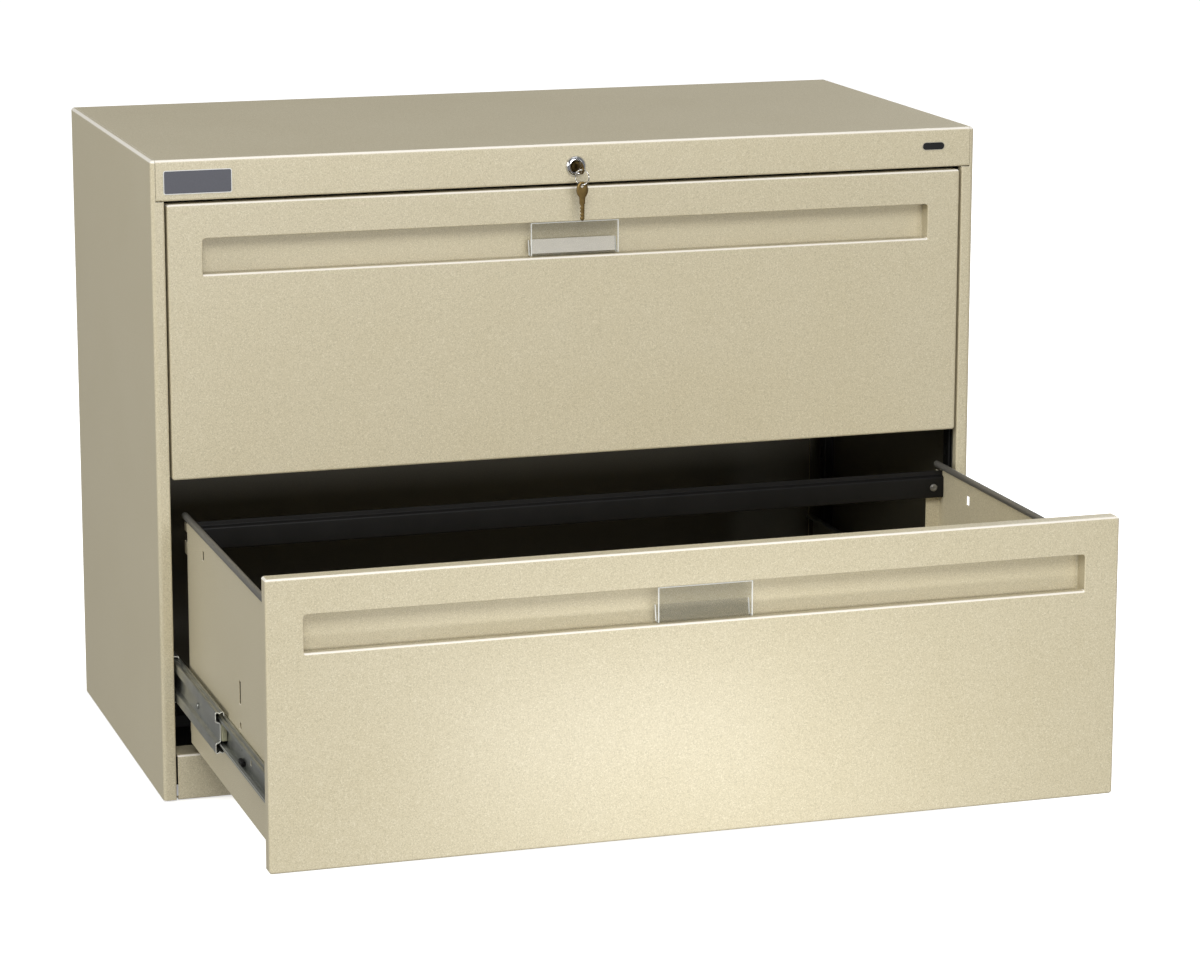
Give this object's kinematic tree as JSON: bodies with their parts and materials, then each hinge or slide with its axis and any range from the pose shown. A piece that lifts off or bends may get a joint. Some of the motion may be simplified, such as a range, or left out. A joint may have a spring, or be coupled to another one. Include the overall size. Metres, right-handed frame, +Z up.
{
  "type": "lateral filing cabinet",
  "caption": "Wide low steel filing cabinet with drawers on telescopic slides, full-width recessed handles, a keyed gang lock and one drawer pulled out.",
  "frame": {"origin": "on the floor, at the centre of the case's footprint, 2 mm below the bottom pan's rib", "axes": "+Z up, the drawers open towards -Y, +X to the right of a person facing the drawers"},
  "size_m": [0.9144, 0.8872, 0.686],
  "materials": {
    "putty_paint": "fine-textured putty powder coat, semi-matt",
    "black_paint": "black paint, semi-matt",
    "zinc_steel": "zinc-plated steel, slightly dull",
    "grey_cap": "gunmetal-grey extruded cap, satin",
    "chrome": "polished chrome plate",
    "brass": "dull stamped brass",
    "bright_wire": "bright spring wire",
    "clear_plastic": "clear extruded plastic, glossy",
    "card": "blank off-white card",
    "grey_plate": "blank dark grey label with a pale border",
    "black_badge": "blank black oval badge with a pale border",
    "nylon": "black nylon pad on a steel stem"
  },
  "bodies": {
    "case": {"right_side_panel": "putty_paint", "left_side_panel": "putty_paint", "top_panel": "putty_paint", "back_panel": "putty_paint", "base_rail": "putty_paint", "bottom_pan": "black_paint", "front_right_upright": "black_paint", "front_left_upright": "black_paint", "rear_right_upright": "black_paint", "rear_left_upright": "black_paint", "lower_right_slide_channel": "zinc_steel", "lower_left_slide_channel": "zinc_steel", "upper_right_slide_channel": "zinc_steel", "upper_left_slide_channel": "zinc_steel", "lock_housing": "chrome", "lock_nut": "zinc_steel", "label_plate": "grey_plate", "badge_plate": "black_badge"},
    "lower_slide_middles": {"lower_right_slide_middle": "zinc_steel", "lower_left_slide_middle": "zinc_steel"},
    "lower_drawer": {"lower_drawer_front": "putty_paint", "lower_handle_pan": "putty_paint", "lower_drawer_right_side": "putty_paint", "lower_drawer_left_side": "putty_paint", "lower_drawer_bottom": "putty_paint", "lower_rear_hanging_bar": "black_paint", "lower_front_hanging_bar": "black_paint", "lower_right_side_cap": "grey_cap", "lower_left_side_cap": "grey_cap", "lower_right_slide_drawer_member": "zinc_steel", "lower_left_slide_drawer_member": "zinc_steel", "lower_label_holder": "clear_plastic", "lower_lock_catch": "zinc_steel"},
    "upper_slide_middles": {"upper_right_slide_middle": "zinc_steel", "upper_left_slide_middle": "zinc_steel"},
    "upper_drawer": {"upper_drawer_front": "putty_paint", "upper_handle_pan": "putty_paint", "upper_drawer_right_side": "putty_paint", "upper_drawer_left_side": "putty_paint", "upper_drawer_bottom": "putty_paint", "upper_rear_hanging_bar": "black_paint", "upper_front_hanging_bar": "black_paint", "upper_right_side_cap": "grey_cap", "upper_left_side_cap": "grey_cap", "upper_right_slide_drawer_member": "zinc_steel", "upper_left_slide_drawer_member": "zinc_steel", "upper_label_holder": "clear_plastic", "upper_lock_catch": "zinc_steel", "upper_label_card": "card"},
    "lock_plug": {"lock_plug": "brass", "lock_cam": "zinc_steel"},
    "lock_link": {"lock_link": "zinc_steel"},
    "lock_bar": {"lock_bar": "zinc_steel"},
    "lock_key": {"key_in_lock": "brass"},
    "key_ring": {"key_ring": "bright_wire"},
    "front_left_glide": {"front_left_glide": "nylon"},
    "front_right_glide": {"front_right_glide": "nylon"},
    "rear_left_glide": {"rear_left_glide": "nylon"},
    "rear_right_glide": {"rear_right_glide": "nylon"}
  },
  "joints": [
    {"name": "lower_drawer_slide", "type": "slide", "parent": "case", "child": "lower_drawer", "axis": [0, -1, 0], "range_m": [-0.43, 0]},
    {"name": "lower_middles_slide", "type": "slide", "parent": "case", "child": "lower_slide_middles", "axis": [0, -1, 0], "range_m": [-0.215, 0]},
    {"name": "upper_drawer_slide", "type": "slide", "parent": "case", "child": "upper_drawer", "axis": [0, -1, 0], "range_m": [0, 0.43]},
    {"name": "upper_middles_slide", "type": "slide", "parent": "case", "child": "upper_slide_middles", "axis": [0, -1, 0], "range_m": [0, 0.215]},
    {"name": "lock_turn", "type": "hinge", "parent": "case", "child": "lock_plug", "pos_m": [0, -0.2286, 0.6615], "axis": [0, -1, 0], "range_deg": [0, 90]},
    {"name": "lock_link_slide", "type": "slide", "parent": "case", "child": "lock_link", "axis": [1, 0, 0], "range_m": [0, 0.018]},
    {"name": "lock_bar_slide", "type": "slide", "parent": "case", "child": "lock_bar", "axis": [0, 0, -1], "range_m": [0, 0.018]},
    {"name": "key_pull", "type": "slide", "parent": "lock_plug", "child": "lock_key", "axis": [0, -1, 0], "range_m": [0, 0.02]},
    {"name": "key_ring_swing", "type": "hinge", "parent": "lock_key", "child": "key_ring", "pos_m": [0, -0.2518, 0.6606], "axis": [1, 0, 0], "range_deg": [-60, 15]},
    {"name": "front_left_glide_screw", "type": "slide", "parent": "case", "child": "front_left_glide", "axis": [0, 0, -1], "range_m": [0, 0.012]},
    {"name": "front_right_glide_screw", "type": "slide", "parent": "case", "child": "front_right_glide", "axis": [0, 0, -1], "range_m": [0, 0.012]},
    {"name": "rear_left_glide_screw", "type": "slide", "parent": "case", "child": "rear_left_glide", "axis": [0, 0, -1], "range_m": [0, 0.012]},
    {"name": "rear_right_glide_screw", "type": "slide", "parent": "case", "child": "rear_right_glide", "axis": [0, 0, -1], "range_m": [0, 0.012]}
  ],
  "couplings": [
    {"joint": "lower_middles_slide", "follows": "lower_drawer_slide", "ratio": 0.5},
    {"joint": "upper_middles_slide", "follows": "upper_drawer_slide", "ratio": 0.5},
    {"joint": "lock_link_slide", "follows": "lock_turn", "m_per_rad": 0.010804},
    {"joint": "lock_bar_slide", "follows": "lock_turn", "m_per_rad": 0.010804}
  ]
}
